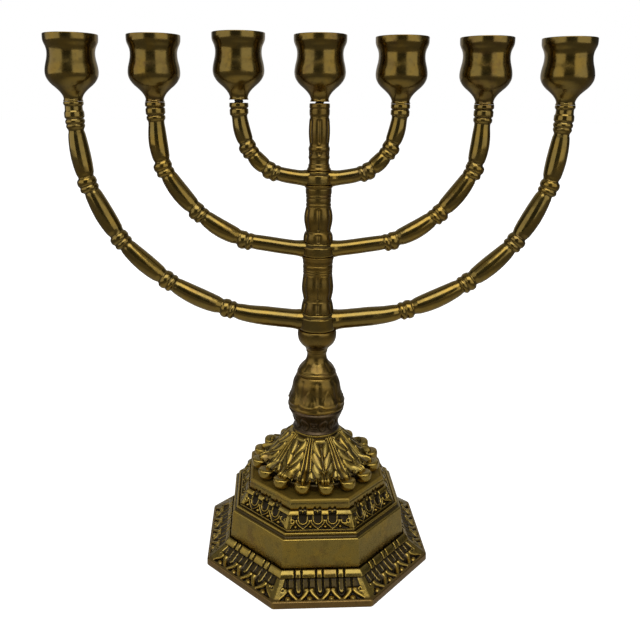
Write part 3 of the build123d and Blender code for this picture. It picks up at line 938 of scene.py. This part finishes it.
def octagon(kind, runs, soften, band, straight_columns, corner_radius):
    """One casting of the base: a closed ring with an octagonal plan and a band of ornament on its faces.

    Its runs are of (half width, height), and corner_radius(height) rounds its corners."""
    def ornamented(first, second):
        innermost = min(first[0], second[0])
        low, high = sorted([first[1], second[1]])
        return innermost > band["inner"] - 2.6 and high < band["top"] + 0.1 and low > band["low"] - 0.3

    profile = outline(runs, step=0.2, soften=soften, tolerance=0.02, gap=40.0)
    profile = refined(profile, ornamented, 0.36, 5.0)
    normal = normals_of(profile, True)
    on_outside = normal.sum(1) > -1.3
    half_width, height = profile[:, 0], profile[:, 1]
    corner = np.minimum(corner_radius(height), 0.4 * half_width)
    inner = half_width - corner
    slope = math.tan(math.radians(22.5))
    place = np.linspace(-1, 1, straight_columns)
    arc_columns = 7
    turn = np.linspace(0, 1, arc_columns + 2)[1:-1]
    columns, angles, shares = [], [], []
    for face in range(8):
        middle = math.radians(BASE_TURN - 90 + 45 * face)
        outward = np.array([math.cos(middle), math.sin(middle)])
        sideways = np.array([-math.sin(middle), math.cos(middle)])
        for share in place:
            columns.append(outward * inner[:, None] + sideways * (share * inner * slope)[:, None])
            angles.append(middle)
            shares.append(share)
        for share in turn:
            columns.append(outward * inner[:, None] + sideways * (inner * slope)[:, None])
            angles.append(middle + share * math.radians(45))
            shares.append(1.0)
    centres = np.stack(columns, 1)
    facing = np.stack([np.cos(angles), np.sin(angles)], -1)
    across = (inner * slope)[:, None] * np.array(shares)
    half = (half_width * slope)[:, None] * np.ones_like(across)
    edge = band["top"] - band["fillet"]
    rows = on_outside & (half_width > band["inner"] - 2.4)
    rows = rows & (height < band["top"]) & (height > band["low"])
    below = np.hypot(half_width - band["inner"], edge - height)
    v = np.where(height > edge, edge - height, below)[:, None] * np.ones_like(across)
    end = math.hypot(band["outer"] - band["inner"], edge - band["low"])
    fade = bump(v, 0.15 - band["fillet"], end - 0.25, 0.5)
    out = np.where(rows[:, None], ornament(band, across, half, v) * fade, 0.0)
    spread = corner[:, None] + out * normal[:, :1]
    points = np.empty(across.shape + (3,))
    points[..., :2] = centres + facing[None] * spread[..., None]
    points[..., 2] = height[:, None] + out * normal[:, 1:]
    piece("base_%s_casting" % kind, [grid(points)], CAST, "column", "base_pedestal", 16,
          out.ravel())


def base_pedestal():
    """Octagonal stepped base, hollow underneath.

    Its foot carries the lower band, and its drum the ridges, the upper band and the plinth."""
    lip, low, high = LIP_HALF_WIDTH, LOWER_BAND["inner"], UPPER_BAND["inner"]
    foot = path((57.8, 0.0), (lip, 0.0), (lip - 0.1, 3.4), (59.4, 4.0), (low, 9.4), (low + 0.3, 10.0),
                (low - 0.5, 11.4), (low - 1.7, 12.6), (low - 2.3, 12.9), (48.7, 12.5), (47.9, 11.9),
                (45.2, 11.9), (45.6, 9.8), (47.6, 6.6), (57.8, 0.5), (57.8, 0.0))
    drum = path((48.0, 12.6), (46.6, 28.0), (46.1, 28.45), (45.4, 28.35), (44.8, 28.7), (44.5, 29.4),
                (44.9, 30.1), (44.6, 30.75), (43.9, 30.95), (43.2, 30.4), (42.3, 30.2), (42.0, 30.8),
                (42.9, 31.3), (high, 37.3), (high + 0.35, 37.8), (high - 0.4, 38.8), (high - 1.2, 39.5),
                (37.6, 39.3), (36.9, 38.6), (37.3, 40.2), (37.25, 42.6), (36.9, 43.05), (37.2, 43.6),
                (36.95, 44.5), (36.2, 44.97), (35.5, 44.97), (35.2, 44.6), (ROD_HOLE, 44.6),
                (ROD_HOLE, 42.0), (34.0, 42.0), (35.0, 38.5), (40.0, 28.4), (43.4, 25.4), (44.9, 12.6),
                (48.0, 12.6))
    lip_top, lip_corner, slope_corner, drum_corner = 3.7, 2.6, 1.4, 1.2
    octagon("foot", foot, 0.22, LOWER_BAND, 120,
            lambda z: np.where(z < lip_top, lip_corner, slope_corner))
    octagon("drum", drum, 0.2, UPPER_BAND, 88, lambda z: np.full_like(z, drum_corner))


# ------------------------------------------------------------------- fasteners

def screw(radius, low, high, threaded):
    """Round rod with chamfered ends, as its profile and the relief of its threaded stretch."""
    chamfer = 0.4
    foot = [(0.0, low), (radius - chamfer, low), (radius, low + chamfer)]
    top = [(radius, high - chamfer), (radius - chamfer, high), (0.0, high)]
    marks = [low + chamfer] + list(np.arange(threaded[0], threaded[1], 0.1)) + [high - chamfer]
    marks = [mark for mark in marks if low + chamfer <= mark <= high - chamfer]
    profile = np.array(foot + [(radius, mark) for mark in marks[1:-1]] + top)

    def relief(angle, radius, height):
        turn = (height / THREAD_PITCH - angle / (2 * math.pi)) % 1.0
        groove = np.abs(2 * turn - 1)
        return -THREAD_DEPTH * groove * bump(height, *threaded, 0.6) * (radius > 0.6)

    return profile, relief


def stud(number, axis):
    """Threaded stud between a branch end and its cup."""
    low = BRANCH_TOP - STUD_SUNK
    high = BRANCH_TOP + STUD_PROUD
    profile, relief = screw(STUD_RADIUS, low, high, (low, high))
    shell = turned(profile, 40, relief, closed=False, centre=(axis, 0, 0))
    name = "stud_%d" % number
    piece(name + "_screw", [shell], STEEL, name, name, passes=4)


def tie_rod():
    """Rod that clamps the column, threaded where the nut sits."""
    low, high = heights("tie_rod")
    profile, relief = screw(ROD_RADIUS, low, high, (low, low + 14.0))
    piece("tie_rod_screw", [turned(profile, 48, relief, closed=False)], STEEL, "column",
          "tie_rod", passes=4)


def washer():
    """Flat washer under the base's top plate."""
    low, high = heights("washer")
    runs = path((ROD_HOLE, low), (8.0, low), (8.0, high), (ROD_HOLE, high), (ROD_HOLE, low))
    piece("washer_disc", [turned(outline(runs, step=0.15, soften=0.18), 72)], STEEL, "column",
          "washer", passes=6)


def nut():
    """Hexagon nut with its corners chamfered to a circle on both faces."""
    low, high = heights("nut")
    flat, corner, bore = 5.0, 5.7735, 3.02
    runs = path((bore, low + 0.4), (bore + 0.4, low), (flat - 0.2, low), (corner, low + 0.75),
                (corner, high - 0.75), (flat - 0.2, high), (bore + 0.4, high), (bore, high - 0.4),
                (bore, low + 0.4))
    profile = outline(runs, step=0.15, soften=0.12, gap=0.6)
    vertices, faces = turned(profile, 144)
    angle = np.arctan2(vertices[:, 1], vertices[:, 0])
    limit = flat / np.cos(wrapped(angle, math.radians(60)))
    radius = np.hypot(vertices[:, 0], vertices[:, 1])
    cut = np.minimum(radius, limit) / radius
    vertices[:, :2] *= cut[:, None]
    piece("nut_hexagon", [(vertices, faces)], STEEL, "column", "nut", passes=6)


# ----------------------------------------------------------------------- build

for branch_name, branch_sizes in BRANCHES.items():
    branch(branch_name, branch_sizes)
for cup_number, cup_axis in enumerate(CUP_AXES, start=1):
    cup(cup_number, cup_axis)
    stud(cup_number, cup_axis)
stem_top()
spacer_upper()
spacer_lower()
neck()
knop()
collar()
leaf_dome()
base_pedestal()
tie_rod()
washer()
nut()


# ------------------------------------------------------- floor, light and camera

def by_ray(tree, seen, reflected):
    """One shader as the camera sees it, and another as the brass reflects it."""
    ray = node(tree, "LightPath").outputs["Is Camera Ray"]
    return node(tree, "MixShader", {0: ray, 1: reflected.outputs[0], 2: seen.outputs[0]}).outputs[0]


def floor():
    """Pale floor, seen white by the camera and duller by the light that the brass reflects."""
    size = 8.0
    mesh = bpy.data.meshes.new("floor")
    mesh.from_pydata([(-size, -size, 0), (size, -size, 0), (size, size, 0), (-size, size, 0)], [],
                     [(0, 1, 2, 3)])
    material = bpy.data.materials.new("floor")
    tree = empty_tree(material)
    pale = node(tree, "BsdfDiffuse", {"Color": (0.55, 0.55, 0.54, 1)})
    glow = node(tree, "Emission", {"Color": (1, 1, 1, 1), "Strength": 0.93})
    seen = node(tree, "AddShader", {0: pale.outputs[0], 1: glow.outputs[0]})
    place = node(tree, "TexCoord").outputs["Object"]
    away = node(tree, "VectorMath", {0: place}, operation="LENGTH").outputs["Value"]
    table = mix(tree, remap(tree, away, 0.15, 0.38), (0.66, 0.64, 0.58), (0.22, 0.21, 0.20))
    dull = node(tree, "BsdfDiffuse", {"Color": table})
    node(tree, "OutputMaterial", {"Surface": by_ray(tree, seen, dull)})
    mesh.materials.append(material)
    made = placed("floor", mesh)
    made.location.z = -0.0002


def panel(name, azimuth, distance, height, width, tall, power, tilt=0.0):
    """Soft light panel facing the object, at an azimuth in degrees from the viewer's side towards +X."""
    data = bpy.data.lights.new(name, "AREA")
    data.shape = "RECTANGLE"
    data.size = width
    data.size_y = tall
    data.energy = power
    made = placed(name, data)
    turn = math.radians(azimuth)
    made.location = (distance * math.sin(turn), -distance * math.cos(turn), height)
    made.rotation_euler = (math.radians(90 - tilt), 0, turn)
    made.visible_camera = False


def sun(strength, spread):
    """Very soft light from above, from a disc of the sky spread degrees wide."""
    data = bpy.data.lights.new("ceiling", "SUN")
    data.energy = strength
    data.angle = math.radians(spread)
    placed("ceiling", data)


def world():
    """White surroundings for the camera and dim ones for the light that the brass reflects."""
    made = bpy.data.worlds.new("studio")
    tree = empty_tree(made)
    seen = node(tree, "Background", {"Color": (1, 1, 1, 1), "Strength": 1.0})
    dim = node(tree, "Background", {"Color": (0.92, 0.96, 1.0, 1), "Strength": 0.07})
    node(tree, "OutputWorld", {"Surface": by_ray(tree, seen, dim)})
    bpy.context.scene.world = made


def camera():
    """Camera at the photograph's viewing angle."""
    data = bpy.data.cameras.new("camera")
    data.sensor_width = 36.0
    data.lens = 38.67
    data.shift_x = 0.0262
    data.shift_y = -0.1543
    data.clip_start = 0.01
    made = placed("camera", data)
    pitch, yaw, roll = 0.172, -0.005, 0.008
    ahead = np.array([-math.sin(yaw) * math.cos(pitch), math.cos(yaw) * math.cos(pitch),
                      -math.sin(pitch)])
    level = np.array([math.cos(yaw), math.sin(yaw), 0.0])
    upright = np.cross(level, ahead)
    right = math.cos(roll) * level + math.sin(roll) * upright
    up = math.cos(roll) * upright - math.sin(roll) * level
    turn = Matrix(np.stack([right, up, -ahead], 1).tolist())
    made.matrix_world = Matrix.Translation((-0.010038, -0.367417, 0.250501)) @ turn.to_4x4()
    bpy.context.scene.camera = made


floor()
world()
camera()
sun(0.5, 120)
panel("softbox", 0, 4.2, 6.6, 8.0, 4.8, 310, tilt=57)
panel("window_left", -66, 1.1, 0.52, 1.5, 0.85, 3.6)
panel("window_right", 44, 1.1, 0.52, 1.2, 0.85, 3.0)
panel("wall_back", 180, 1.5, 0.6, 2.6, 1.2, 3.8)
bpy.context.scene.view_settings.view_transform = "Standard"
